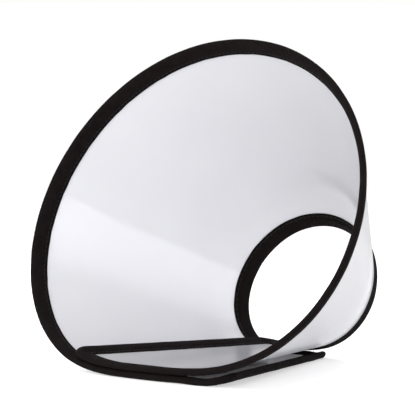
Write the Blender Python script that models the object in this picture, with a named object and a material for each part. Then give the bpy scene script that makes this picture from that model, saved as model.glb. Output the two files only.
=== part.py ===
"""Pet recovery cone: one sheet of plastic rolled into a cone, its whole outline bound in folded tape,
closed by a hook strip and a loop strip where the two ends lap under the cone.

Metres, +Z up.  The cone lies on its flattened underside, its wide mouth towards +X.
The sheet is a sector of a ring.  Every straight line of it passes through one apex, so it can only
bend about those lines: it is split there into panels, and each panel carries its own bit of binding.
"""
import math

import bmesh
import bpy
import numpy as np
from mathutils import Matrix

for old in list(bpy.data.objects):
    bpy.data.objects.remove(old, do_unlink=True)

MM = 0.001
DEG = math.pi / 180

# ---- driving dimensions: the flat sector ----
RIM_L = 300 * MM        # apex to the outer fold of the head-side binding
NECK_L = 122 * MM       # apex to the outer fold of the neck-side binding
SHEET_T = 0.7 * MM      # plastic thickness
TAPE_T = 2.8 * MM       # thickness of the folded binding over the sheet
SLOT_T = 1.3 * MM       # room between the two leaves of the binding
FOLD = 1.0 * MM         # thickness of the tape at the fold
SHEET_IN = 1.3 * MM     # sheet edge behind the outer fold
RIM_W = 11.4 * MM       # width of the folded tape at the wide mouth
NECK_W = 12.6 * MM      # width of the folded tape at the neck
RIM_CORNER = 12.2 * MM  # outline corner radius at the wide mouth
NECK_CORNER = 13.4 * MM  # outline corner radius at the neck
SEAM = 0.3 * MM         # clearance between neighbouring pieces

# ---- driving dimensions: how it is rolled.  Turn angle 0 is underneath, 90 is +Y, 180 on top ----
START = -42.5           # inner end of the sheet
END = 397.6             # outer end of the sheet, 80 degrees past one full turn
HALF_ANGLE = 25.7       # mean half-angle of the cone
OVAL = 1.9              # the free mouth is slightly oval
OVAL_AT = -21.1
SQUASH = 11.8           # how far the underside is pressed flat
SQUASH_AT = -7.1
SQUASH_SPAN = 59.7
LAP = 5.2 * MM          # distance between the two layers where they lap
FOLDS = 15              # bending lines, with equal bends from the middle of one lap to the other
STEP = 4.5              # turn angle per facet

# ---- closure ----
STRIP_T = 1.8 * MM
HOOK_W = 17.0 * MM
HOOK_FROM = 196 * MM
HOOK_TO = 286 * MM

APEX = (-0.19377, -0.00091, 0.00663)


def cone_direction(turn):
    """Unit direction of the sheet's straight lines, cone axis along X."""
    wrapped = (turn - SQUASH_AT + 180) % 360 - 180
    half = HALF_ANGLE + OVAL * np.cos(2 * (turn - OVAL_AT) * DEG)
    half = (half - SQUASH * np.exp(-(wrapped / SQUASH_SPAN) ** 2)) * DEG
    side = np.sin(half) * np.sin(turn * DEG)
    up = -np.sin(half) * np.cos(turn * DEG)
    return np.stack([np.cos(half), side, up], -1)


def cone_frame(turn):
    """Direction, and the normal that points into the cone."""
    d = cone_direction(turn)
    e = cone_direction(turn + 0.01) - cone_direction(turn - 0.01)
    n = np.cross(d, e)
    n /= np.linalg.norm(n, axis=-1)[..., None]
    return d, n


# Stand the cone on its underside: the normal there becomes +Z.
_, ground = cone_frame(np.array([360.0]))
z_axis = ground[0]
x_axis = np.array([1.0, 0.0, 0.0]) - z_axis[0] * z_axis
x_axis /= np.linalg.norm(x_axis)
STAND = np.stack([x_axis, np.cross(z_axis, x_axis), z_axis])

turns = np.arange(START, END + 0.05, 0.1)
dirs, norms = cone_frame(turns)
dirs = dirs @ STAND.T
norms = norms @ STAND.T
if norms[np.argmin(abs(turns - 360))][2] < 0:
    norms = -norms
steps = np.arccos(np.clip((dirs[1:] * dirs[:-1]).sum(1), -1, 1))
flat = np.concatenate([[0], np.cumsum(steps)])
spin = (np.cross(norms[:-1], norms[1:]) * dirs[1:]).sum(1)
bends = np.arctan2(spin, (norms[:-1] * norms[1:]).sum(1)) / DEG
bend = np.concatenate([[0], np.cumsum(bends)])
ramp = np.clip((turns - 60) / 240, 0, 1)
offset = -LAP * ramp * ramp * (3 - 2 * ramp)
FLAT_END = flat[-1]


def to_flat(turn):
    return float(np.interp(turn, turns, flat))


def roll(angle, length, height):
    """A point of the flat sector, rolled up.  height is measured into the cone from mid-sheet."""
    d = np.array([np.interp(angle, flat, dirs[:, k]) for k in range(3)])
    n = np.array([np.interp(angle, flat, norms[:, k]) for k in range(3)])
    d /= np.linalg.norm(d)
    n /= np.linalg.norm(n)
    lift = np.interp(angle, flat, offset) + height
    return np.array(APEX) + length * d + lift * n


# ---- bending lines ----
low, high = np.interp([0, 360], turns, bend)
OPENING = (high - low) / FOLDS   # bend taken out at each line when the sheet is laid flat
curled = (turns > 10) & (turns < 345)
wanted = low + OPENING * (np.arange(FOLDS) + 0.5)
folds = [float(f) for f in np.interp(wanted, bend[curled], turns[curled])]
cuts = [START] + folds + [END]
LAST = FOLDS


# ---- materials ----
def material(name, colour, roughness, metallic=0.0):
    mat = bpy.data.materials.new(name)
    mat.use_nodes = True
    bsdf = mat.node_tree.nodes["Principled BSDF"]
    bsdf.inputs["Base Color"].default_value = (*colour, 1)
    bsdf.inputs["Roughness"].default_value = roughness
    bsdf.inputs["Metallic"].default_value = metallic
    mat.diffuse_color = (*colour, 1)
    return mat


PLASTIC = (0.80, 0.79, 0.82)
CLOTH = (0.022, 0.019, 0.018)
NYLON = (0.78, 0.78, 0.80)


def add_piece(name, verts, faces, mat):
    mesh = bpy.data.meshes.new(name)
    mesh.from_pydata([tuple(v) for v in verts], [], faces)
    bm = bmesh.new()
    bm.from_mesh(mesh)
    bmesh.ops.recalc_face_normals(bm, faces=bm.faces)
    bm.to_mesh(mesh)
    bm.free()
    mesh.materials.append(mat)
    ob = bpy.data.objects.new(name, mesh)
    bpy.context.scene.collection.objects.link(ob)
    mesh.shade_smooth()
    mesh.set_sharp_from_angle(angle=35 * DEG)
    return ob


def relief(height):
    """Set-back of a panel's end at a bending line, so its outside does not pinch when opened."""
    return SEAM / 2 + max(0.0, -height) * math.tan(OPENING * DEG / 2) * 1.05


# ---- flat outline of an end: straight edge, two round corners, arcs to the bending line ----
def outline(end_angle, side, fold_angle, inset, arc_steps):
    """Head-side and neck-side borders from the bending line to the straight edge, each a list of
    (angle, length) moved inwards by inset, and the inward directions as (sideways, lengthwise)."""
    head = []
    neck = []
    for corner, base, grow, out in ((RIM_CORNER, RIM_L, -1, head), (NECK_CORNER, NECK_L, 1, neck)):
        centre = base + grow * corner
        tilt = math.asin(corner / centre)
        along = centre * math.cos(tilt)
        span = abs(fold_angle - end_angle) - tilt
        for k in range(arc_steps + 1):
            turned = tilt + span * (1 - k / arc_steps)
            mid = base + grow * inset
            out.append((end_angle - side * turned, mid, 0.0, float(grow), turned))
        swing = math.pi / 2 + tilt if grow < 0 else math.pi / 2 - tilt
        for k in range(1, 7):
            a = swing * k / 6
            # unit vector from the corner's centre to the outline, in (across, along)
            start = np.array([math.sin(tilt), math.cos(tilt)]) * -grow
            c, s = math.cos(a), math.sin(a)
            if grow < 0:
                ray = np.array([c * start[0] - s * start[1], s * start[0] + c * start[1]])
            else:
                ray = np.array([c * start[0] + s * start[1], -s * start[0] + c * start[1]])
            point = np.array([corner, along]) + ray * (corner - inset)
            length = float(np.hypot(*point))
            turned = math.atan2(point[0], point[1])
            out.append((end_angle - side * turned, length, -ray[0], -ray[1], turned))
    return head, neck


# ---- sheet panels ----
def facets(a, b):
    return max(2, int(round(abs(b - a) / STEP)))


def skin(name, heads, necks, top, bottom, mat):
    """Closed slab ruled between two borders, each a list of ((angle, length), (angle, length))."""
    verts = []
    for k in range(len(heads)):
        upper_h, lower_h = heads[k]
        upper_n, lower_n = necks[k]
        verts.append(roll(*upper_h, top))
        verts.append(roll(*upper_n, top))
        verts.append(roll(*lower_n, bottom))
        verts.append(roll(*lower_h, bottom))
    faces = [(0, 1, 2, 3)]
    for k in range(len(heads) - 1):
        for j in range(4):
            a = 4 * k + j
            b = 4 * k + (j + 1) % 4
            faces.append((a, b, b + 4, a + 4))
    last = 4 * (len(heads) - 1)
    faces.append((last + 3, last + 2, last + 1, last))
    return add_piece(name, verts, faces, mat)


def sheet_panel(index):
    mat = material("plastic_%02d" % index, PLASTIC, 0.26)
    half = SHEET_T / 2
    first, second = cuts[index], cuts[index + 1]
    count = facets(first, second)
    heads = []
    necks = []
    far = RIM_L - SHEET_IN
    near = NECK_L + SHEET_IN
    if 0 < index < LAST:
        ends = (to_flat(first), to_flat(second))
        for k in range(count + 1):
            angle = ends[0] + (ends[1] - ends[0]) * k / count
            up = down = 0.0
            if k in (0, count):
                sign = 1 if k == 0 else -1
                up = relief(half) * sign
                down = relief(-half) * sign
            heads.append(((angle + up / far, far), (angle + down / far, far)))
            necks.append(((angle + up / near, near), (angle + down / near, near)))
        return skin("sheet_%02d" % index, heads, necks, half, -half, mat)
    at_start = index == 0
    fold = second if at_start else first
    side = -1 if at_start else 1
    edge = 0.0 if at_start else FLAT_END
    head, neck = outline(edge, side, to_flat(fold), SHEET_IN, count)
    for k in range(len(head)):
        up = down = 0.0
        if k == 0:
            up = relief(half) * side
            down = relief(-half) * side
        ha, hl = head[k][:2]
        na, nl = neck[k][:2]
        heads.append(((ha + up / hl, hl), (ha + down / hl, hl)))
        necks.append(((na + up / nl, nl), (na + down / nl, nl)))
    return skin("sheet_%02d" % index, heads, necks, half, -half, mat)


# ---- folded binding ----
def tape_section(width, with_middle):
    """U around the sheet's edge: (distance in from the fold, height)."""
    t = TAPE_T / 2
    s = SLOT_T / 2
    m = width * 0.55
    upper = [(width, t)] + ([(m, t)] if with_middle else [])
    upper += [(1.2 * MM, t), (0.35 * MM, t * 0.68), (0.0, t * 0.22)]
    lower = [(a, -h) for a, h in reversed(upper)]
    under = [(width, -s)] + ([(m, -s)] if with_middle else []) + [(FOLD, -s)]
    over = [(a, -h) for a, h in reversed(under)]
    return upper + lower + under + over


def tape_caps(with_middle):
    if with_middle:
        return [(0, 1, 14, 15), (1, 2, 13, 14), (2, 3, 4, 13), (4, 5, 12, 13), (5, 6, 7, 12), (7, 8, 11, 12),
                (8, 9, 10, 11)]
    return [(0, 1, 10, 11), (1, 2, 3, 10), (3, 4, 9, 10), (4, 5, 6, 9), (6, 7, 8, 9)]


def sweep_tape(name, rings, with_middle, mat):
    size = len(rings[0])
    verts = [p for ring in rings for p in ring]
    faces = list(tape_caps(with_middle))
    for k in range(len(rings) - 1):
        for j in range(size):
            a = size * k + j
            b = size * k + (j + 1) % size
            faces.append((a, b, b + size, a + size))
    last = size * (len(rings) - 1)
    faces += [tuple(last + i for i in reversed(cap)) for cap in tape_caps(with_middle)]
    return add_piece(name, verts, faces, mat)


def border_tape(index, where):
    mat = material("tape_%s_%02d" % (where, index), CLOTH, 0.9)
    first, second = cuts[index], cuts[index + 1]
    count = facets(first, second)
    width, base, grow = (RIM_W, RIM_L, -1) if where == "rim" else (NECK_W, NECK_L, 1)
    ends = (to_flat(first), to_flat(second))
    rings = []
    for k in range(count + 1):
        angle = ends[0] + (ends[1] - ends[0]) * k / count
        ring = []
        for across, height in tape_section(width, False):
            length = base + grow * across
            shift = 0.0
            if k == 0:
                shift = relief(height) / length
            if k == count:
                shift = -relief(height) / length
            ring.append(roll(angle + shift, length, height))
        rings.append(ring)
    return sweep_tape("%s_tape_%02d" % (where, index), rings, False, mat)


def end_tape(index):
    """Binding of an end panel: mouth border, round corner, straight edge, round corner, neck border."""
    at_start = index == 0
    name = "end_tape_inner" if at_start else "end_tape_outer"
    mat = material("tape_" + name, CLOTH, 0.9)
    fold = cuts[1] if at_start else cuts[-2]
    side = -1 if at_start else 1
    edge = 0.0 if at_start else FLAT_END
    count = facets(fold, START if at_start else END)
    head, neck = outline(edge, side, to_flat(fold), 0.0, count)
    straight = []
    top = head[-1]
    bottom = neck[-1]
    for k in range(1, 4):
        t = k / 4
        straight.append((edge, top[1] + (bottom[1] - top[1]) * t, 1.0, 0.0, 0.0))
    path = head + straight + neck[::-1]
    rings = []
    for k, (angle, length, across_dir, along_dir, turned) in enumerate(path):
        share = k / (len(path) - 1)
        width = RIM_W + (NECK_W - RIM_W) * share
        on_arc = k <= count or k >= len(path) - 1 - count
        ring = []
        for across, height in tape_section(width, True):
            if on_arc:
                far = length + along_dir * across
                bearing = turned
            else:
                x = length * math.sin(turned) + across_dir * across
                y = length * math.cos(turned) + along_dir * across
                far = math.hypot(x, y)
                bearing = math.atan2(x, y)
            if k in (0, len(path) - 1):
                bearing -= relief(height) / far
            ring.append(roll(edge - side * bearing, far, height))
        rings.append(ring)
    return sweep_tape(name, rings, True, mat)


# ---- closure strips ----
def strip(name, shift, low_h, high_h, grow):
    """Strip sewn beside the outer end's binding; shift moves it one layer in."""
    mat = material(name, NYLON, 0.7)
    across0 = NECK_W + 1.5 * MM - grow
    across1 = NECK_W + 1.5 * MM + HOOK_W + grow
    along0 = HOOK_FROM - grow
    along1 = HOOK_TO + grow
    cols = 4
    rows = 3
    verts = []
    for height in (low_h, high_h):
        for i in range(cols + 1):
            for j in range(rows + 1):
                x = across0 + (across1 - across0) * i / cols
                y = along0 + (along1 - along0) * j / rows
                turn = float(np.interp(FLAT_END - math.atan2(x, y), flat, turns)) - shift
                verts.append(roll(to_flat(turn), math.hypot(x, y), height))
    layer = (cols + 1) * (rows + 1)
    faces = []
    for i in range(cols):
        for j in range(rows):
            a = i * (rows + 1) + j
            quad = (a, a + 1, a + rows + 2, a + rows + 1)
            faces.append(quad[::-1])
            faces.append(tuple(layer + q for q in quad))
    ring = [j for j in range(rows + 1)]
    ring += [i * (rows + 1) + rows for i in range(1, cols + 1)]
    ring += [cols * (rows + 1) + j for j in range(rows - 1, -1, -1)]
    ring += [i * (rows + 1) for i in range(cols - 1, 0, -1)]
    for k in range(len(ring)):
        a = ring[k]
        b = ring[(k + 1) % len(ring)]
        faces.append((a, b, b + layer, a + layer))
    return add_piece(name, verts, faces, mat)


# ---- build ----
for index in range(LAST + 1):
    sheet_panel(index)
    if 0 < index < LAST:
        border_tape(index, "rim")
        border_tape(index, "neck")
end_tape(0)
end_tape(LAST)
skin_gap = SHEET_T / 2 + SEAM
strip("hook_strip", 0.0, skin_gap, skin_gap + STRIP_T, 0.0)
strip("loop_strip", 360.0, -skin_gap - STRIP_T, -skin_gap, 0.5 * MM)

# ---- bending lines as empties, each on its own axis ----
for number, fold in enumerate(folds):
    angle = to_flat(fold)
    origin = roll(angle, 0.0, 0.0)
    d = roll(angle, 1.0, 0.0) - origin
    z = d / np.linalg.norm(d)
    x = np.cross(z, [0.0, 0.0, 1.0])
    x /= np.linalg.norm(x)
    y = np.cross(z, x)
    empty = bpy.data.objects.new("fold_%02d" % (number + 1), None)
    empty.matrix_world = Matrix(((x[0], y[0], z[0], origin[0]), (x[1], y[1], z[1], origin[1]),
                                 (x[2], y[2], z[2], origin[2]), (0, 0, 0, 1)))
    bpy.context.scene.collection.objects.link(empty)
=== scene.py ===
import math

import bmesh
import bpy
import numpy as np
from mathutils import Euler, Matrix, Vector


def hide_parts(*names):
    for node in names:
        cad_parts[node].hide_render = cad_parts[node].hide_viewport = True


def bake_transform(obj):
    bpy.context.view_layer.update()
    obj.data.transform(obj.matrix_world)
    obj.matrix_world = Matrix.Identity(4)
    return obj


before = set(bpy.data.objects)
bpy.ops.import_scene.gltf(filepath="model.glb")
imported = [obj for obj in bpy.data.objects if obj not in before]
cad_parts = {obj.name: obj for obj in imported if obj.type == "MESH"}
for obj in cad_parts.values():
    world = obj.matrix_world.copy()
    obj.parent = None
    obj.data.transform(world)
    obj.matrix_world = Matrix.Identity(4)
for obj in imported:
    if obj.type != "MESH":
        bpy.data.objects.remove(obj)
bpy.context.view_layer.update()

MM = 0.001
DEG = math.pi / 180

# ---- the flat sector, as in the CAD ----
RIM_L = 300 * MM
NECK_L = 122 * MM
SHEET_T = 0.7 * MM
SHEET_IN = 1.3 * MM
RIM_W = 11.4 * MM
NECK_W = 12.6 * MM
RIM_CORNER = 12.2 * MM
NECK_CORNER = 13.4 * MM

# ---- how it is rolled, as in the CAD ----
START = -42.5
END = 397.6
HALF_ANGLE = 25.7
OVAL = 1.9
OVAL_AT = -21.1
SQUASH = 11.8
SQUASH_AT = -7.1
SQUASH_SPAN = 59.7
LAP = 5.2 * MM
FOLDS = 15
APEX = np.array([-0.19377, -0.00091, 0.00663])

# ---- closure strips, as in the CAD ----
HOOK_W = 17.0 * MM
HOOK_FROM = 196 * MM
HOOK_TO = 286 * MM
STRIP_GAP = SHEET_T / 2 + 0.3 * MM

# ---- detail ----
SAG = 1.2 * MM            # the outer layer hangs off the inner one beside its end
SAG_AT = 389
SAG_SPAN = 13
TUCK = 1.4 * MM           # under the mouth's front edge its border is drawn up to the inner layer
TUCK_SPAN = (318, 335, 374, 388)
TUCK_LENGTH = (274 * MM, 288 * MM, 302 * MM)
TAPE_STEP = 0.8 * MM      # spacing of the cross-sections of the binding
STITCH_IN = 2.3 * MM      # stitch line, from the binding's inner edge
STITCH_PITCH = 3.2 * MM
STITCH_L = 2.35 * MM
THREAD_R = 0.2 * MM
LINT = 2200               # short fibres of the nap
LINT_R = 0.03 * MM
LINT_SEED = 11
FRAY_R = 0.09 * MM        # loose thread ends, at a neck corner of each end of the sheet
FRAY_IN = 4 * MM
FRAYS_INNER = 8
FRAYS_OUTER = 4
SHEET_ROWS = 10           # faces across the sheet, neck to mouth


# ======== the shape ========
def cone_direction(turn):
    """Unit direction of the sheet's straight lines, cone axis along X."""
    wrapped = (turn - SQUASH_AT + 180) % 360 - 180
    half = HALF_ANGLE + OVAL * np.cos(2 * (turn - OVAL_AT) * DEG)
    half = (half - SQUASH * np.exp(-(wrapped / SQUASH_SPAN) ** 2)) * DEG
    side = np.sin(half) * np.sin(turn * DEG)
    up = -np.sin(half) * np.cos(turn * DEG)
    return np.stack([np.cos(half), side, up], -1)


def cone_frame(turn):
    """Direction, and the normal that points into the cone."""
    d = cone_direction(turn)
    e = cone_direction(turn + 0.01) - cone_direction(turn - 0.01)
    n = np.cross(d, e)
    n /= np.linalg.norm(n, axis=-1)[..., None]
    return d, n


_, ground = cone_frame(np.array([360.0]))
z_axis = ground[0]
x_axis = np.array([1.0, 0.0, 0.0]) - z_axis[0] * z_axis
x_axis /= np.linalg.norm(x_axis)
STAND = np.stack([x_axis, np.cross(z_axis, x_axis), z_axis])

turns = np.arange(START, END + 0.05, 0.1)
dirs, norms = cone_frame(turns)
dirs = dirs @ STAND.T
norms = norms @ STAND.T
if norms[np.argmin(abs(turns - 360))][2] < 0:
    norms = -norms
steps = np.arccos(np.clip((dirs[1:] * dirs[:-1]).sum(1), -1, 1))
flat = np.concatenate([[0], np.cumsum(steps)])
spin = (np.cross(norms[:-1], norms[1:]) * dirs[1:]).sum(1)
bends = np.arctan2(spin, (norms[:-1] * norms[1:]).sum(1)) / DEG
bend = np.concatenate([[0], np.cumsum(bends)])
ramp = np.clip((turns - 60) / 240, 0, 1)
offset = -LAP * ramp * ramp * (3 - 2 * ramp)
sag = np.clip(1 - abs(turns - SAG_AT) / SAG_SPAN, 0, 1)
offset = offset - SAG * sag * sag * (3 - 2 * sag)
FLAT_END = flat[-1]


def tuck(angle, length):
    """How far the outer layer's mouth border is drawn up towards the inner layer."""
    round_about = np.interp(angle, np.interp(TUCK_SPAN, turns, flat), [0, 1, 1, 0])
    lengthwise = np.interp(length, TUCK_LENGTH, [0, 1, 0.3])
    return TUCK * round_about * lengthwise


def roll(angle, length, height):
    """Points of the flat sector, rolled up.  height is measured into the cone from mid-sheet."""
    d = np.stack([np.interp(angle, flat, dirs[:, k]) for k in range(3)], -1)
    n = np.stack([np.interp(angle, flat, norms[:, k]) for k in range(3)], -1)
    d /= np.linalg.norm(d, axis=-1)[..., None]
    n /= np.linalg.norm(n, axis=-1)[..., None]
    lift = np.interp(angle, flat, offset) + height + tuck(angle, length)
    return APEX + length[..., None] * d + lift[..., None] * n


# How far round the bending goes, counted in bending lines: 0 before the first, FOLDS after the last.
low, high = np.interp([0, 360], turns, bend)
curled = (turns > 6) & (turns < 349)
progress = np.clip((bend[curled] - low) / (high - low) * FOLDS, 0, FOLDS)
zone_edges = np.interp(np.arange(1, FOLDS), progress, flat[curled])
zone_ends = [flat[curled][0], *zone_edges, flat[curled][-1]]


def zone_of(angle):
    return np.searchsorted(zone_edges, angle)


# ======== the outline of the flat sector ========
def end_path():
    """An end of the sector, mouth corner to neck corner: points and inward directions, with x
    measured inwards from the straight edge and y along it from the apex."""
    points = []
    inward = []
    along = math.sqrt((RIM_L - RIM_CORNER) ** 2 - RIM_CORNER ** 2)
    tilt = math.asin(RIM_CORNER / (RIM_L - RIM_CORNER))
    count = int(RIM_CORNER * (math.pi / 2 + tilt) / TAPE_STEP)
    for a in np.linspace(-tilt, math.pi / 2, count + 1):
        points.append((RIM_CORNER * (1 - math.sin(a)), along + RIM_CORNER * math.cos(a)))
        inward.append((math.sin(a), -math.cos(a)))
    low_along = math.sqrt((NECK_L + NECK_CORNER) ** 2 - NECK_CORNER ** 2)
    count = int((along - low_along) / TAPE_STEP)
    for y in np.linspace(along, low_along, count + 1)[1:]:
        points.append((0.0, y))
        inward.append((1.0, 0.0))
    tilt = math.asin(NECK_CORNER / (NECK_L + NECK_CORNER))
    count = int(NECK_CORNER * (math.pi / 2 - tilt) / TAPE_STEP)
    for a in np.linspace(0, math.pi / 2 - tilt, count + 1)[1:]:
        points.append((NECK_CORNER * (1 - math.cos(a)), low_along - NECK_CORNER * math.sin(a)))
        inward.append((math.cos(a), math.sin(a)))
    return np.array(points), np.array(inward)


def to_outer(v):
    """Turns an end path of the inner end over onto the outer end."""
    s, c = math.sin(FLAT_END), math.cos(FLAT_END)
    return np.stack([s * v[:, 1] - c * v[:, 0], c * v[:, 1] + s * v[:, 0]], 1)


def arc_path(radius, grow, start, stop):
    """A border arc with a cross-section on every zone edge."""
    inside = [a for a in zone_edges if min(start, stop) < a < max(start, stop)]
    marks = [start] + sorted(inside, reverse=bool(stop < start)) + [stop]
    angles = [start]
    for a, b in zip(marks[:-1], marks[1:]):
        count = max(1, int(abs(b - a) * radius / TAPE_STEP))
        angles += list(np.linspace(a, b, count + 1)[1:])
    angles = np.array(angles)
    ray = np.stack([np.sin(angles), np.cos(angles)], 1)
    return ray * radius, ray * grow


def whole_outline():
    """Closed outline, once round: mouth border, outer end, neck border, inner end."""
    end_points, end_inward = end_path()
    rim_tilt = math.asin(RIM_CORNER / (RIM_L - RIM_CORNER))
    neck_tilt = math.asin(NECK_CORNER / (NECK_L + NECK_CORNER))
    rim = arc_path(RIM_L, -1, rim_tilt, FLAT_END - rim_tilt)
    outer = (to_outer(end_points), to_outer(end_inward))
    neck = arc_path(NECK_L, 1, FLAT_END - neck_tilt, neck_tilt)
    inner = (end_points[::-1], end_inward[::-1])
    parts = [rim, outer, neck, inner]
    points = np.concatenate([p[:-1] for p, _ in parts])
    inward = np.concatenate([n[:-1] for _, n in parts])
    return points, inward


outline, inward = whole_outline()
step_l = np.linalg.norm(np.roll(outline, -1, 0) - outline, axis=1)
along_edge = np.concatenate([[0], np.cumsum(step_l)])
TOTAL_EDGE = along_edge[-1]
from_apex = np.linalg.norm(outline, axis=1)
tape_w = NECK_W + (RIM_W - NECK_W) * np.clip((from_apex - NECK_L) / (RIM_L - NECK_L), 0, 1)


def on_outline(s, across, height):
    """Point at arc length s along the outline, `across` in from the fold, `height` off mid-sheet."""
    def closed(values):
        return np.interp(s, along_edge, np.append(values, values[0]))
    x = closed(outline[:, 0]) + across * closed(inward[:, 0])
    y = closed(outline[:, 1]) + across * closed(inward[:, 1])
    angle = np.arctan2(x, y)
    return roll(angle, np.hypot(x, y), height), angle


def share_along(corner):
    """Where the outline passes nearest to a point of the flat pattern, 0 to 1 round the outline."""
    return along_edge[np.argmin(np.hypot(*(outline - corner).T))] / TOTAL_EDGE


inner_corner = np.array([[FRAY_IN, NECK_L + FRAY_IN]])
FRAY_AT_INNER = share_along(inner_corner[0])
FRAY_AT_OUTER = share_along(to_outer(inner_corner)[0])


def wander(s, scale, seed):
    """Smooth irregular wave between about -1 and 1, closed round the outline."""
    total = np.zeros_like(s)
    for k, weight in enumerate((0.5, 0.3, 0.2)):
        waves = round(TOTAL_EDGE / scale * (1 + 0.618 * k))
        total += weight * np.sin(2 * math.pi * waves * s / TOTAL_EDGE + seed * (k + 1.7))
    return total


# ======== making pieces ========
def whole_normals(verts, faces):
    """Vertex normals of the uncut surface, so that no seam shows where pieces meet."""
    faces = np.array(faces)
    corner = verts[faces]
    across = np.cross(corner[:, 2] - corner[:, 0], corner[:, 3] - corner[:, 1])
    normals = np.zeros_like(verts)
    for k in range(4):
        np.add.at(normals, faces[:, k], across)
    length = np.linalg.norm(normals, axis=1)
    return normals / np.maximum(length, 1e-12)[:, None]


def new_piece(name, verts, faces, normals, uv, material):
    mesh = bpy.data.meshes.new(name)
    mesh.from_pydata(verts.tolist(), [], faces.tolist() if hasattr(faces, "tolist") else faces)
    layer = mesh.uv_layers.new(name="UVMap")
    loops = np.zeros(len(mesh.loops), np.int32)
    mesh.loops.foreach_get("vertex_index", loops)
    layer.data.foreach_set("uv", uv[loops].astype(np.float32).ravel())
    mesh.shade_smooth()
    if normals is not None:
        mesh.normals_split_custom_set_from_vertices(normals.tolist())
    mesh.materials.append(material)
    piece = bpy.data.objects.new(name, mesh)
    bpy.context.scene.collection.objects.link(piece)
    return piece


def bend_with_zone(piece, zone):
    """Bakes the piece's transform into its mesh; the points beside the middle of panel `zone` are worked out
    but not used.
    """
    middle = (zone_ends[zone] + zone_ends[zone + 1]) / 2
    near = roll(np.array([middle - 0.05, middle + 0.05]), np.array([RIM_L, RIM_L]), np.zeros(2))
    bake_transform(piece)


def cut(name, verts, faces, uv, face_zone, material, names=None):
    """Cuts one surface into a piece for each zone in face_zone."""
    faces = np.array(faces)
    normals = whole_normals(verts, faces)
    pieces = {}
    for key in sorted(set(face_zone)):
        mine = faces[[z == key for z in face_zone]]
        used, index = np.unique(mine, return_inverse=True)
        index = index.reshape(mine.shape)
        zone = key[0] if isinstance(key, tuple) else int(key)
        label = names(key) if names else "%s_%02d" % (name, key)
        piece = new_piece(label, verts[used], index, normals[used], uv[used], material)
        bend_with_zone(piece, zone)
        pieces[key] = piece
    return pieces


# ======== materials ========
def node_material(name):
    mat = bpy.data.materials.new(name)
    mat.use_nodes = True
    return mat, mat.node_tree, mat.node_tree.nodes["Principled BSDF"]


def add(tree, kind, **settings):
    node = tree.nodes.new(kind)
    for key, value in settings.items():
        setattr(node, key, value)
    return node


def flat_millimetres(tree, scale=(1, 1, 1)):
    """Coordinates fixed to the piece: its flat pattern in millimetres."""
    uv = add(tree, "ShaderNodeUVMap", uv_map="UVMap")
    mapping = add(tree, "ShaderNodeMapping")
    mapping.inputs["Scale"].default_value = [1000 * k for k in scale]
    tree.links.new(uv.outputs["UV"], mapping.inputs["Vector"])
    return mapping.outputs["Vector"]


def noise(tree, vector, scale, detail=2.0, rough=0.5):
    node = add(tree, "ShaderNodeTexNoise")
    node.inputs["Scale"].default_value = scale
    node.inputs["Detail"].default_value = detail
    node.inputs["Roughness"].default_value = rough
    tree.links.new(vector, node.inputs["Vector"])
    return node.outputs["Fac"]


def remap(tree, value, low_in, high_in, low_out, high_out):
    node = add(tree, "ShaderNodeMapRange")
    node.inputs["From Min"].default_value = low_in
    node.inputs["From Max"].default_value = high_in
    node.inputs["To Min"].default_value = low_out
    node.inputs["To Max"].default_value = high_out
    tree.links.new(value, node.inputs["Value"])
    return node.outputs["Result"]


def maths(tree, operation, a, b):
    node = add(tree, "ShaderNodeMath", operation=operation)
    for k, value in enumerate((a, b)):
        if isinstance(value, (int, float)):
            node.inputs[k].default_value = value
        else:
            tree.links.new(value, node.inputs[k])
    return node.outputs[0]


def colours(tree, factor, first, second):
    node = add(tree, "ShaderNodeMix", data_type="RGBA")
    node.inputs["A"].default_value = (*first, 1)
    node.inputs["B"].default_value = (*second, 1)
    tree.links.new(factor, node.inputs["Factor"])
    return node.outputs["Result"]


def bump(tree, height, distance, strength=1.0, under=None):
    node = add(tree, "ShaderNodeBump")
    node.inputs["Distance"].default_value = distance
    node.inputs["Strength"].default_value = strength
    tree.links.new(height, node.inputs["Height"])
    if under is not None:
        tree.links.new(under, node.inputs["Normal"])
    return node.outputs["Normal"]


def plastic_material():
    """Frosted sheet: satin gloss, a little light comes through, faint scuffs and waviness."""
    mat, tree, shader = node_material("frosted_plastic")
    here = flat_millimetres(tree)
    cloudy = noise(tree, here, 0.02, 3.0)
    tint = remap(tree, cloudy, 0.3, 0.7, 0.0, 1.0)
    base = colours(tree, tint, (0.69, 0.69, 0.715), (0.715, 0.715, 0.735))
    tree.links.new(base, shader.inputs["Base Color"])
    scuffs = noise(tree, flat_millimetres(tree, (0.05, 1, 1)), 0.9, 4.0, 0.6)
    patches = remap(tree, noise(tree, here, 0.05, 3.0), 0.3, 0.7, 0.14, 0.19)
    lines = remap(tree, scuffs, 0.58, 0.75, 0.0, 0.08)
    tree.links.new(maths(tree, "ADD", patches, lines), shader.inputs["Roughness"])
    waves = bump(tree, noise(tree, here, 0.014, 1.0), 0.5 * MM)
    grain = bump(tree, noise(tree, here, 1.6, 3.0, 0.6), 0.004 * MM, 1.0, waves)
    tree.links.new(grain, shader.inputs["Normal"])
    shader.inputs["IOR"].default_value = 1.49
    through = add(tree, "ShaderNodeBsdfTranslucent")
    through.inputs["Color"].default_value = (0.74, 0.74, 0.76, 1)
    mix = add(tree, "ShaderNodeMixShader")
    mix.inputs["Fac"].default_value = 0.45
    tree.links.new(shader.outputs["BSDF"], mix.inputs[1])
    tree.links.new(through.outputs["BSDF"], mix.inputs[2])
    out = next(n for n in tree.nodes if n.type == "OUTPUT_MATERIAL")
    tree.links.new(mix.outputs["Shader"], out.inputs["Surface"])
    return mat


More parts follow.
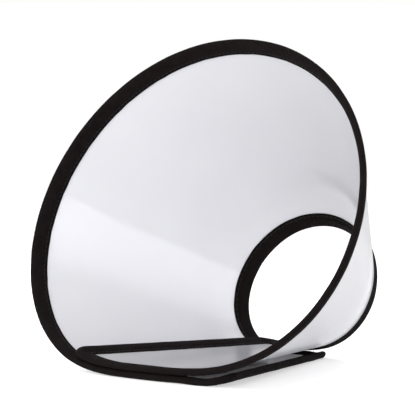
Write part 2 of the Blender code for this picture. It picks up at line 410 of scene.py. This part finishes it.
def binding_material():
    """Black knitted tape: fine ribs, mottled dye, dusty nap, and painted shade that darkens the grooves
    between the ribs and lightens their crests.
    """
    mat, tree, shader = node_material("black_binding")
    here = flat_millimetres(tree)
    wobble = noise(tree, here, 0.7, 2.0)
    ribs = []
    for axis, pitch in (("X", 0.62), ("Y", 0.5)):
        wave = add(tree, "ShaderNodeTexWave", wave_type="BANDS", bands_direction=axis)
        wave.inputs["Scale"].default_value = 0.314 / pitch
        wave.inputs["Distortion"].default_value = 1.2
        wave.inputs["Detail"].default_value = 2.0
        wave.inputs["Detail Scale"].default_value = 1.5
        tree.links.new(here, wave.inputs["Vector"])
        ribs.append(wave.outputs["Fac"])
    weave = maths(tree, "MULTIPLY", ribs[0], ribs[1])
    lint = noise(tree, here, 2.6, 4.0, 0.7)
    height = maths(tree, "ADD", weave, maths(tree, "MULTIPLY", lint, 0.9))
    mottle = remap(tree, noise(tree, here, 0.16, 3.0, 0.6), 0.3, 0.72, 0.0, 0.55)
    # colour: dye mottle at random, plus the tape's height, so the nap is lighter and the grooves between the
    # ribs are painted darker (painted shade)
    shade = maths(tree, "ADD", mottle, maths(tree, "MULTIPLY", remap(tree, height, 0.3, 1.6, 0.0, 1.0), 0.5))
    base = colours(tree, shade, (0.0055, 0.0040, 0.0042), (0.0125, 0.0098, 0.0100))
    tree.links.new(base, shader.inputs["Base Color"])
    rough = remap(tree, wobble, 0.3, 0.7, 0.84, 0.95)
    tree.links.new(rough, shader.inputs["Roughness"])
    tree.links.new(bump(tree, height, 0.16 * MM, 0.9), shader.inputs["Normal"])
    shader.inputs["Specular IOR Level"].default_value = 0.035
    shader.inputs["Sheen Weight"].default_value = 0.008
    shader.inputs["Sheen Roughness"].default_value = 0.45
    shader.inputs["Sheen Tint"].default_value = (0.9, 0.78, 0.76, 1)
    return mat


def thread_material():
    """Black polyester thread with its twist, its colour painted darker in the twist's grooves and lighter on
    its ridges (painted shade and highlight).
    """
    mat, tree, shader = node_material("black_thread")
    here = flat_millimetres(tree)
    wave = add(tree, "ShaderNodeTexWave", wave_type="BANDS", bands_direction="DIAGONAL")
    wave.inputs["Scale"].default_value = 1.1
    wave.inputs["Distortion"].default_value = 0.6
    tree.links.new(here, wave.inputs["Vector"])
    # colour follows the twist's height: painted shade in its grooves, painted highlight on its ridges
    base = colours(tree, wave.outputs["Fac"], (0.0035, 0.0028, 0.0028), (0.0105, 0.0085, 0.0085))
    tree.links.new(base, shader.inputs["Base Color"])
    tree.links.new(remap(tree, wave.outputs["Fac"], 0, 1, 0.62, 0.8), shader.inputs["Roughness"])
    tree.links.new(bump(tree, wave.outputs["Fac"], 0.08 * MM), shader.inputs["Normal"])
    return mat


def nylon_material(name, fine, dark, light):
    """White nylon of the closure: woven ground, or soft pile."""
    mat, tree, shader = node_material(name)
    here = flat_millimetres(tree)
    fuzz = noise(tree, here, fine, 4.0, 0.65)
    cloud = remap(tree, noise(tree, here, 0.2, 2.0), 0.3, 0.7, -0.15, 0.15)
    shade = maths(tree, "ADD", remap(tree, fuzz, 0.3, 0.7, 0.0, 1.0), cloud)
    tree.links.new(colours(tree, shade, dark, light), shader.inputs["Base Color"])
    tree.links.new(remap(tree, fuzz, 0.3, 0.7, 0.55, 0.8), shader.inputs["Roughness"])
    tree.links.new(bump(tree, fuzz, 0.12 * MM), shader.inputs["Normal"])
    return mat


plastic = plastic_material()
binding = binding_material()
thread = thread_material()


# ======== plastic sheet ========
def sheet_limits(turned):
    """Nearest and farthest length of the sheet on a straight line `turned` radians from an end."""
    g = np.stack([np.sin(turned), np.cos(turned)], -1)
    limits = []
    for corner, base, grow in ((NECK_CORNER, NECK_L, 1), (RIM_CORNER, RIM_L, -1)):
        middle = base + grow * corner
        centre = np.array([corner, math.sqrt(middle ** 2 - corner ** 2)])
        tilt = math.asin(corner / middle)
        reach = corner - SHEET_IN
        on_line = g @ centre
        half = np.sqrt(np.maximum(reach ** 2 - middle ** 2 + on_line ** 2, 0))
        limits.append(np.where(turned < tilt, on_line - grow * half, base + grow * SHEET_IN))
    return limits


def make_sheet():
    edge = SHEET_IN / NECK_L
    marks = [edge] + list(zone_edges) + [FLAT_END - edge]
    angles = []
    for k, (a, b) in enumerate(zip(marks[:-1], marks[1:])):
        turned = abs(np.interp(b, flat, bend) - np.interp(a, flat, bend))
        count = max(22, int(turned))
        spread = np.linspace(0, 1, count + 1)
        if k == 0:
            spread = spread ** 1.5
        if k == FOLDS - 1:
            spread = 1 - (1 - spread) ** 1.5
        angles += list((a + (b - a) * spread)[:-1])
    angles = np.array(angles + [marks[-1]])
    nearest, farthest = sheet_limits(np.minimum(angles, FLAT_END - angles))
    rows = SHEET_ROWS
    part = np.linspace(0, 1, rows + 1)
    length = nearest[:, None] + (farthest - nearest)[:, None] * part
    angle = np.repeat(angles[:, None], rows + 1, 1)
    columns = len(angles)
    verts = []
    for height in (SHEET_T / 2, -SHEET_T / 2):
        verts.append(roll(angle, length, np.full(angle.shape, height)).reshape(-1, 3))
    layer = columns * (rows + 1)
    faces = []
    zones = []
    for i in range(columns - 1):
        zone = int(zone_of((angles[i] + angles[i + 1]) / 2))
        for j in range(rows):
            a = i * (rows + 1) + j
            faces.append((a, a + 1, a + rows + 2, a + rows + 1))
            faces.append((layer + a, layer + a + rows + 1, layer + a + rows + 2, layer + a + 1))
            zones += [zone, zone]
        for j, flip in ((0, False), (rows, True)):
            a = i * (rows + 1) + j
            quad = (a, a + rows + 1, layer + a + rows + 1, layer + a)
            faces.append(quad[::-1] if flip else quad)
            zones.append(zone)
    for i, flip in ((0, True), (columns - 1, False)):
        for j in range(rows):
            a = i * (rows + 1) + j
            quad = (a, a + 1, layer + a + 1, layer + a)
            faces.append(quad[::-1] if flip else quad)
            zones.append(0 if i == 0 else FOLDS - 1)
    verts = np.concatenate(verts)
    flat_xy = np.stack([length * np.sin(angle), length * np.cos(angle)], -1).reshape(-1, 2)
    uv = np.concatenate([flat_xy, flat_xy + (1.0, 1.0)])
    pieces = cut("plastic_sheet", verts, faces, uv, zones, plastic)
    for zone, piece in pieces.items():
        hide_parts("sheet_%02d" % zone)
    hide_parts("sheet_%02d" % FOLDS)


# ======== binding ========
# Upper half of the cross-section: how far from the inner edge, or from the fold, and the height.
LEAF = ((0.0, 0.40), (0.04, 0.72), (0.3, 0.99), (0.85, 1.10), (1.6, 1.04), (2.3, 0.93), (3.0, 1.05),
        (4.3, 1.23), (5.9, 1.32))
TURN = ((3.3, 1.36), (2.1, 1.34), (1.25, 1.2), (0.62, 0.9), (0.18, 0.48), (0.0, 0.0))
PUFF_INSIDE = 0.62        # how much fuller than its edge the tape is near the fold, on the cone's inside
PUFF_RIM = 0.45           # the same on its outside, along the mouth
PUFF_NECK = 0.8           # and along the neck
PUFF_END = 0.85           # and on the outside of the outer end
END_REACH = 26 * MM
PUFF_FROM = 1.5 * MM
PUFF_TO = 6.0 * MM
FOLD_OUT = 0.9 * MM       # the fold stands this far outside the sheet's outline
SLOT_H = 0.37 * MM
EDGE_WAVE = 0.16 * MM
BODY_WAVE = 0.035
PUCKER = 0.085 * MM
PLEAT_H = 0.2 * MM        # gathers where the tape goes round a corner
PLEAT_PITCH = 2.3 * MM


def corner_share():
    """1 on the four round corners, 0 on the straight ends and the long borders."""
    ahead = np.roll(inward, -4, 0)
    behind = np.roll(inward, 4, 0)
    turned = np.arccos(np.clip((ahead * behind).sum(1), -1, 1))
    span = np.linalg.norm(np.roll(outline, -4, 0) - np.roll(outline, 4, 0), axis=1)
    return np.clip((turned / span - 1 / 60e-3) / (1 / 16e-3 - 1 / 60e-3), 0, 1)


def puff(across, inside):
    """Factor on the height of the tape `across` in from its fold."""
    depth = np.clip((tape_w - across - PUFF_FROM) / (PUFF_TO - PUFF_FROM), 0, 1)
    to_end = (FLAT_END - np.arctan2(outline[:, 0], outline[:, 1])) * from_apex
    end = np.clip(1 - to_end / END_REACH, 0, 1)
    border = PUFF_NECK + (PUFF_RIM - PUFF_NECK) * (from_apex - NECK_L) / (RIM_L - NECK_L)
    outside = border + (PUFF_END - border) * end * end * (3 - 2 * end)
    return 1 + (PUFF_INSIDE if inside else outside) * depth * depth * (3 - 2 * depth)


def make_binding():
    s = along_edge[:-1]
    count = len(s)
    columns = []
    stitch = 0.5 - 0.5 * np.cos(2 * math.pi * s / STITCH_PITCH)
    gathers = corner_share() * PLEAT_H * np.sin(2 * math.pi * s / PLEAT_PITCH + wander(s, 9 * MM, 4.0))
    for side in (1, -1):
        leaf = []
        swell = 1 + BODY_WAVE * wander(s, 34 * MM, 2.0 + side)
        creep = EDGE_WAVE * wander(s, 21 * MM, 5.0 + side)
        for back, height in LEAF:
            near_stitch = math.exp(-((back * MM - STITCH_IN) / (1.3 * MM)) ** 2)
            pull = PUCKER * near_stitch * (1 - stitch) + 0.03 * MM * stitch * near_stitch
            across = tape_w - back * MM + creep
            lump = gathers * min(1.0, 0.3 + back / 3) * (1 - 0.8 * near_stitch)
            full = puff(tape_w - back * MM, side == 1)
            leaf.append((across, side * (height * MM * swell * full - pull + lump)))
        for across, height in TURN:
            out = 1 - across / 3.3
            fold_wave = (0.07 * MM * wander(s, 27 * MM, 9.0) + 0.5 * gathers - FOLD_OUT) * out
            full = puff(np.zeros(count), side == 1)
            lump = gathers * (1 - out)
            leaf.append((across * MM + fold_wave, side * (height * MM * swell * full + lump)))
        if side == 1:
            columns += leaf
        else:
            columns += leaf[::-1][1:]
    columns += [(tape_w * 0.5, np.full(count, -SLOT_H)), (np.full(count, 1.1 * MM), np.full(count, -SLOT_H)),
                (np.full(count, 1.1 * MM), np.full(count, SLOT_H)), (tape_w * 0.5, np.full(count, SLOT_H))]
    size = len(columns)
    verts = np.zeros((count, size, 3))
    angles = np.zeros((count, size))
    uv = np.zeros((count, size, 2))
    run = np.zeros(count)
    for k, (across, height) in enumerate(columns):
        across = across * np.ones(count)
        height = height * np.ones(count)
        x = outline[:, 0] + across * inward[:, 0]
        y = outline[:, 1] + across * inward[:, 1]
        angles[:, k] = np.arctan2(x, y)
        verts[:, k] = roll(angles[:, k], np.hypot(x, y), height)
        verts[:, k, 2] = np.maximum(verts[:, k, 2], 0)     # pressed flat on the floor
        if k:
            run = run + np.linalg.norm(verts[:, k] - verts[:, k - 1], axis=1)
        uv[:, k] = np.stack([s, run], 1)
    faces = []
    keys = []
    for i in range(count):
        j = (i + 1) % count
        middle = (outline[i] + outline[j]) / 2
        zone = int(zone_of(math.atan2(middle[0], middle[1])))
        border = "rim" if np.hypot(*middle) > (RIM_L + NECK_L) / 2 else "neck"
        if zone in (0, FOLDS - 1):
            border = "end"
        for k in range(size):
            m = (k + 1) % size
            faces.append((i * size + k, j * size + k, j * size + m, i * size + m))
            keys.append((zone, border))

    def label(key):
        if key[1] == "end":
            return "binding_inner_end" if key[0] == 0 else "binding_outer_end"
        return "binding_%s_%02d" % (key[1], key[0])

    uv = uv.reshape(-1, 2)
    pieces = cut("binding", verts.reshape(-1, 3), faces, uv, keys, binding, label)
    for (zone, border), piece in pieces.items():
        if border != "end":
            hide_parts("%s_tape_%02d" % (border, zone))
    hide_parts("end_tape_inner")
    last = FOLDS - 1
    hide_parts("end_tape_outer", "rim_tape_%02d" % last, "neck_tape_%02d" % last)


# ======== sewing ========
def tube(points, radius, sides=6):
    """Rings round a path in (s, across, height) coordinates, tapered to its ends."""
    rings = []
    count = len(points)
    for k, (s, a, h) in enumerate(points):
        thin = radius * (0.55 if k in (0, count - 1) else 1.0)
        for m in range(sides):
            t = 2 * math.pi * m / sides
            rings.append((s, a + thin * math.cos(t), h + thin * math.sin(t)))
    faces = []
    for k in range(count - 1):
        for m in range(sides):
            n = (m + 1) % sides
            faces.append((k * sides + m, k * sides + n, (k + 1) * sides + n, (k + 1) * sides + m))
    return rings, faces, [list(range(sides))[::-1], [(count - 1) * sides + m for m in range(sides)]]


def make_sewing():
    stitches = int(TOTAL_EDGE / STITCH_PITCH)
    pitch = TOTAL_EDGE / stitches
    by_zone = {}
    for number in range(stitches):
        centre = (number + 0.5) * pitch
        width = float(np.interp(centre, along_edge[:-1], tape_w))
        _, angle = on_outline(np.array([centre]), np.array([width]), np.zeros(1))
        zone = int(zone_of(angle[0]))
        for side in (1, -1):
            path = []
            for t, lift in ((-0.5, -0.12), (-0.34, 0.1), (0.0, 0.17), (0.34, 0.1), (0.5, -0.12)):
                sway = 0.12 * MM * math.sin(number * 2.4) + 0.1 * MM * t
                height = (0.86 + lift) * MM
                path.append((centre + t * STITCH_L, width - STITCH_IN + sway, side * height))
            by_zone.setdefault(zone, []).append(tube(path, THREAD_R))
    for zone, tubes in by_zone.items():
        coords = np.array([p for rings, _, _ in tubes for p in rings])
        verts, angles = on_outline(coords[:, 0] % TOTAL_EDGE, coords[:, 1], coords[:, 2])
        faces = []
        start = 0
        for rings, quads, caps in tubes:
            faces += [[start + i for i in f] for f in quads + caps]
            start += len(rings)
        uv = coords[:, :2]
        piece = new_piece("stitching_%02d" % zone, verts, faces, None, uv, thread)
        bend_with_zone(piece, zone)


# ======== loose fibres ========
def tape_surface(across, width, side):
    """Height of the tape's outer surface `across` in from the sheet's outline."""
    reach = [a * MM - FOLD_OUT * (1 - a / 3.3) for a, _ in TURN[::-1]]
    rise = [h for _, h in TURN[::-1]]
    for back, height in LEAF[::-1]:
        reach.append(width - back * MM)
        rise.append(height)
    depth = np.clip((width - across - PUFF_FROM) / (PUFF_TO - PUFF_FROM), 0, 1)
    full = 1 + (PUFF_INSIDE if side > 0 else PUFF_RIM) * depth * depth * (3 - 2 * depth)
    return np.interp(across, reach, rise) * full * MM


def make_lint():
    """Nap of the knitted tape, and the frayed thread ends where the binding starts and stops."""
    random = np.random.default_rng(LINT_SEED)
    fibres = []
    for _ in range(LINT):
        s = random.uniform(0, TOTAL_EDGE)
        width = float(np.interp(s, along_edge[:-1], tape_w))
        side = random.choice((-1, 1))
        across = random.uniform(-0.8 * MM, width - 1.0 * MM) * random.choice((0.25, 1.0))
        height = side * tape_surface(across, width, side)
        out = random.uniform(-0.9, 0.5) if across < 1.5 * MM else random.uniform(-0.4, 0.4)
        length = random.uniform(0.35, 1.0) * MM
        lean = random.uniform(-0.8, 0.8)
        up = side * random.uniform(0.25, 0.9)
        base = (s - 0.2 * length * lean, across, height - 0.1 * MM * side)
        middle = (s + 0.5 * length * lean, across + 0.4 * length * out, height + 0.5 * length * up)
        tip = (s + length * lean, across + length * out, height + 0.75 * length * up)
        fibres.append(((base, middle, tip), LINT_R))
    for place, number in ((FRAY_AT_INNER, FRAYS_INNER), (FRAY_AT_OUTER, FRAYS_OUTER)):
        for _ in range(number):
            s = TOTAL_EDGE * place + random.uniform(-4, 4) * MM
            width = float(np.interp(s, along_edge[:-1], tape_w))
            across = width * random.uniform(0.25, 0.95)
            length = random.uniform(1.6, 3.8) * MM
            height = tape_surface(across, width, 1)
            path = []
            for t in (0.0, 0.25, 0.5, 0.75, 1.0):
                curl = random.uniform(-0.25, 0.25)
                path.append((s + length * (0.5 * t + curl * t), across + length * curl * t * 1.2,
                             height - 0.2 * MM + length * t * (1 - 0.25 * t)))
            fibres.append((path, FRAY_R))
    by_zone = {}
    for path, radius in fibres:
        place = np.array([path[0][0] % TOTAL_EDGE])
        _, angle = on_outline(place, np.array([path[0][1]]), np.zeros(1))
        by_zone.setdefault(int(zone_of(angle[0])), []).append(tube(path, radius, 3))
    for zone, tubes in by_zone.items():
        coords = np.array([p for rings, _, _ in tubes for p in rings])
        verts, angles = on_outline(coords[:, 0] % TOTAL_EDGE, coords[:, 1], coords[:, 2])
        verts[:, 2] = np.maximum(verts[:, 2], 0)
        faces = []
        start = 0
        for rings, quads, caps in tubes:
            faces += [[start + i for i in f] for f in quads + caps]
            start += len(rings)
        piece = new_piece("nap_%02d" % zone, verts, faces, None, coords[:, :2], thread)
        bend_with_zone(piece, zone)


# ======== closure ========
def strip_point(x, y, height, shift):
    """Place on an end, x in from the straight edge and y along it, moved `shift` degrees of turn."""
    turn = np.interp(FLAT_END - np.arctan2(x, y), flat, turns) - shift
    angle = np.interp(turn, turns, flat)
    return roll(angle, np.hypot(x, y), height), angle


def strip_body(x0, x1, y0, y1, base, thick, shift, step, bumps):
    """Sheet-like slab between two heights with rounded long edges and a displaced top."""
    nx = max(6, int((x1 - x0) / step))
    ny = int((y1 - y0) / step)
    gx, gy = np.meshgrid(np.linspace(x0, x1, nx + 1), np.linspace(y0, y1, ny + 1), indexing="ij")
    rim = np.minimum(np.minimum(gx - x0, x1 - gx), np.minimum(gy - y0, y1 - gy))
    crown = thick * (0.55 + 0.45 * np.clip(rim / (1.2 * MM), 0, 1)) + bumps(gx, gy, rim)
    sign = 1 if base > 0 else -1
    layers = [strip_point(gx, gy, base + sign * crown, shift), strip_point(gx, gy, base + 0 * gx, shift)]
    verts = np.concatenate([p.reshape(-1, 3) for p, _ in layers])
    angles = np.concatenate([a.ravel() for _, a in layers])
    uv = np.concatenate([np.stack([gx, gy], -1).reshape(-1, 2)] * 2)
    layer = (nx + 1) * (ny + 1)
    faces = []
    for i in range(nx):
        for j in range(ny):
            a = i * (ny + 1) + j
            quad = [a, a + ny + 1, a + ny + 2, a + 1]
            faces.append(quad)
            faces.append([layer + q for q in quad[::-1]])
    ring = [j for j in range(ny + 1)] + [i * (ny + 1) + ny for i in range(1, nx + 1)]
    ring += [nx * (ny + 1) + j for j in range(ny - 1, -1, -1)] + [i * (ny + 1) for i in range(nx - 1, 0, -1)]
    for k, a in enumerate(ring):
        b = ring[(k + 1) % len(ring)]
        faces.append([a, b, layer + b, layer + a])
    return verts, faces, uv, angles


def tidy_normals(piece):
    bm = bmesh.new()
    bm.from_mesh(piece.data)
    bmesh.ops.recalc_face_normals(bm, faces=bm.faces)
    bm.to_mesh(piece.data)
    bm.free()


STRIP_X = (NECK_W + 1.5 * MM, NECK_W + 1.5 * MM + HOOK_W)


def make_hooks():
    ground_t = 0.55 * MM
    base = STRIP_GAP

    def weave(gx, gy, rim):
        return 0.05 * MM * np.sin(gx / (0.5 * MM)) * np.sin(gy / (0.45 * MM))

    verts, faces, uv, angles = strip_body(*STRIP_X, HOOK_FROM, HOOK_TO, base, ground_t, 0.0, 0.9 * MM, weave)
    parts = [verts]
    uvs = [uv]
    start = len(verts)
    profile = ((0.0, 0.0), (0.02, 0.45), (0.06, 0.85), (0.22, 1.08), (0.42, 1.0), (0.5, 0.78))
    half = 0.13 * MM
    coords = []
    for row, x in enumerate(np.arange(STRIP_X[0] + 1.6 * MM, STRIP_X[1] - 1.4 * MM, 1.25 * MM)):
        facing = 1 if row % 2 else -1
        for y in np.arange(HOOK_FROM + 1.6 * MM, HOOK_TO - 1.4 * MM, 1.5 * MM):
            for k, (lean, rise) in enumerate(profile):
                thin = half * (1.25 - 0.12 * k)
                cy = y + facing * lean * MM
                h = base + ground_t * 0.7 + rise * MM
                for ox, oy in ((-thin, -thin), (thin, -thin), (thin, thin), (-thin, thin)):
                    coords.append((x + ox, cy + oy * (1 if k < 3 else 0.3), h + (oy * 0.9 if k >= 3 else 0)))
            for k in range(len(profile) - 1):
                for m in range(4):
                    n = (m + 1) % 4
                    faces.append([start + 4 * k + m, start + 4 * k + n, start + 4 * k + 4 + n,
                                  start + 4 * k + 4 + m])
            faces.append([start + 3, start + 2, start + 1, start])
            tip = start + 4 * (len(profile) - 1)
            faces.append([tip, tip + 1, tip + 2, tip + 3])
            start += 4 * len(profile)
    coords = np.array(coords)
    points, turned = strip_point(coords[:, 0], coords[:, 1], coords[:, 2], 0.0)
    parts.append(points)
    uvs.append(coords[:, :2])
    white = nylon_material("hook_nylon", 1.4, (0.60, 0.60, 0.61), (0.80, 0.80, 0.81))
    verts = np.concatenate(parts)
    piece = new_piece("hook_tape", verts, faces, None, np.concatenate(uvs), white)
    tidy_normals(piece)
    bend_with_zone(piece, FOLDS - 1)
    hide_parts("hook_strip")


def make_loops():
    grow = 0.5 * MM

    def pile(gx, gy, rim):
        fuzz = np.sin(gx / (0.31 * MM) + 2.1 * np.sin(gy / (0.9 * MM)))
        fuzz = fuzz * np.sin(gy / (0.36 * MM) + 1.7 * np.sin(gx / (0.8 * MM)))
        return np.where(rim > 0.9 * MM, 0.35 * MM + 0.16 * MM * fuzz, -0.1 * MM)

    verts, faces, uv, angles = strip_body(STRIP_X[0] - grow, STRIP_X[1] + grow, HOOK_FROM - grow,
                                          HOOK_TO + grow, -STRIP_GAP, 1.1 * MM, 360.0, 0.55 * MM, pile)
    white = nylon_material("loop_nylon", 2.2, (0.66, 0.66, 0.68), (0.86, 0.86, 0.87))
    piece = new_piece("loop_tape", verts, faces, None, uv, white)
    tidy_normals(piece)
    bend_with_zone(piece, 0)
    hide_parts("loop_strip")


make_sheet()
make_binding()
make_sewing()
make_lint()
make_hooks()
make_loops()


# ======== studio ========
GLOW_TURN = 261           # turn angle and length on the sheet that the glow is centred on
GLOW_L = 225 * MM
GLOW_FROM = 0.7
GLOW_SIZE = (0.2, 0.012)
GLOW_SPREAD = 5
GLOW_W = 0.16


def make_floor():
    mat, tree, shader = node_material("pale_floor")
    coordinates = add(tree, "ShaderNodeTexCoord")
    speckle = noise(tree, coordinates.outputs["Object"], 3.0, 2.0)
    base = colours(tree, speckle, (0.60, 0.60, 0.60), (0.62, 0.62, 0.62))
    tree.links.new(base, shader.inputs["Base Color"])
    shader.inputs["Emission Color"].default_value = (1, 1, 1, 1)
    shader.inputs["Emission Strength"].default_value = 0.52
    shader.inputs["Roughness"].default_value = 0.9
    shader.inputs["Specular IOR Level"].default_value = 0.1
    mesh = bpy.data.meshes.new("floor")
    reach = 6.0
    sink = -0.02 * MM
    corners = [(reach * x, reach * y, sink) for x, y in ((-1, -1), (1, -1), (1, 1), (-1, 1))]
    mesh.from_pydata(corners, [], [(0, 1, 2, 3)])
    mesh.materials.append(mat)
    floor = bpy.data.objects.new("floor", mesh)
    bpy.context.scene.collection.objects.link(floor)


def softbox(name, place, target, size, power):
    light = bpy.data.lights.new(name, "AREA")
    light.shape = "RECTANGLE"
    light.size, light.size_y = size
    light.energy = power
    box = bpy.data.objects.new(name, light)
    box.location = place
    box.rotation_euler = (Vector(target) - Vector(place)).to_track_quat("-Z", "Y").to_euler()
    bpy.context.scene.collection.objects.link(box)


make_floor()
softbox("overhead", (0.1, 0.0, 1.5), (0.0, 0.0, 0.1), (1.6, 1.6), 1.5)
softbox("front", (1.2, 0.5, 0.45), (0.0, -0.05, 0.1), (0.8, 0.8), 7)
softbox("front_left", (1.1, -0.9, 0.45), (0.0, 0.0, 0.1), (0.9, 0.9), 4)
softbox("back_left", (-0.5, -1.2, 0.35), (0.0, 0.0, 0.1), (0.9, 0.9), 22)
softbox("back_top", (-0.8, -0.2, 1.0), (0.0, 0.0, 0.1), (0.8, 0.8), 3)

# a gridded strip behind the far wall, which glows through it along one of the sheet's straight lines
line = roll(np.full(3, np.interp(GLOW_TURN, turns, flat)), np.array([NECK_L, GLOW_L, RIM_L]), np.zeros(3))
inner = roll(np.array([np.interp(GLOW_TURN, turns, flat)]), np.array([GLOW_L]), np.array([MM]))[0]
outward = Vector(line[1] - inner).normalized()
lengthwise = Vector(line[2] - line[0]).normalized()
strip = bpy.data.lights.new("strip", "AREA")
strip.shape = "RECTANGLE"
strip.size, strip.size_y = GLOW_SIZE
strip.energy = GLOW_W
strip.spread = GLOW_SPREAD * DEG
lamp = bpy.data.objects.new("strip", strip)
lamp.rotation_euler = Matrix((lengthwise, outward.cross(lengthwise), outward)).transposed().to_euler()
lamp.location = Vector(line[1]) + outward * GLOW_FROM
bpy.context.scene.collection.objects.link(lamp)

world = bpy.data.worlds.new("studio")
world.use_nodes = True
world.node_tree.nodes["Background"].inputs["Color"].default_value = (1.0, 1.0, 1.0, 1)
world.node_tree.nodes["Background"].inputs["Strength"].default_value = 1.0
bpy.context.scene.world = world
bpy.context.scene.view_settings.view_transform = "Standard"

camera = bpy.data.cameras.new("camera")
camera.sensor_width = 36
camera.lens = 126.96
camera.clip_start = 0.05
camera.clip_end = 50
eye = bpy.data.objects.new("camera", camera)
eye.location = (0.81029, 0.53169, 0.12088)
eye.rotation_euler = Euler((88.980 * DEG, -0.921 * DEG, 124.729 * DEG), "XYZ")
bpy.context.scene.collection.objects.link(eye)
bpy.context.scene.camera = eye
